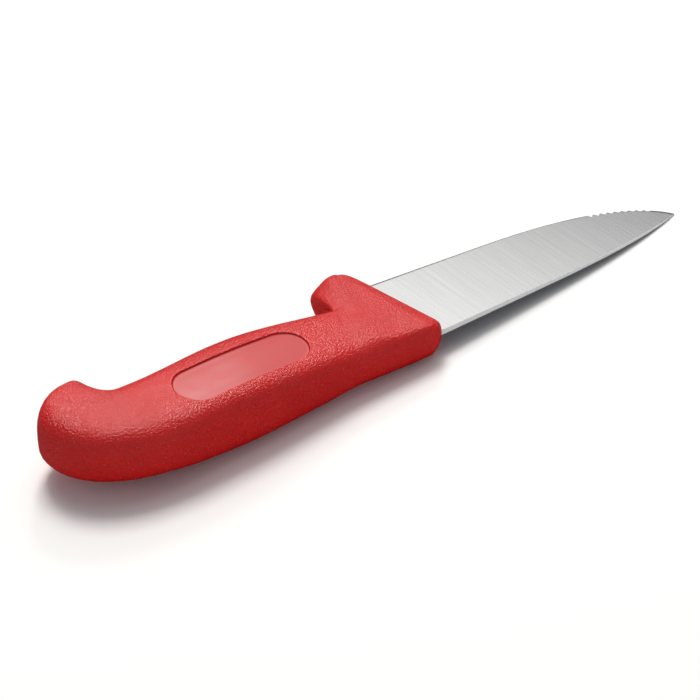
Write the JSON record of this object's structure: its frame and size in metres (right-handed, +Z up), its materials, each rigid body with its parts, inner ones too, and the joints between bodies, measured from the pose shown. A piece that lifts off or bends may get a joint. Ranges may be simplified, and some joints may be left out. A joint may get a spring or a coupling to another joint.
{
  "type": "kitchen utility knife",
  "caption": "Kitchen utility knife with a flat-ground steel blade serrated near the point, and a moulded plastic handle with a finger guard, a hooked butt and an oval recess.",
  "frame": {"origin": "middle of the knife's footprint, on the surface that it lies on", "axes": "+X along the knife from the butt to the point, +Y from the spine to the cutting edge, +Z up from the surface, with the recess on top"},
  "size_m": [0.2374, 0.043, 0.0246],
  "materials": {
    "blade_steel": "fine satin grinding lines across the blade",
    "handle_plastic": "red, fine moulded grain, smooth floor in the recess"
  },
  "bodies": {
    "root": {"blade": "blade_steel", "handle": "handle_plastic"}
  },
  "joints": []
}
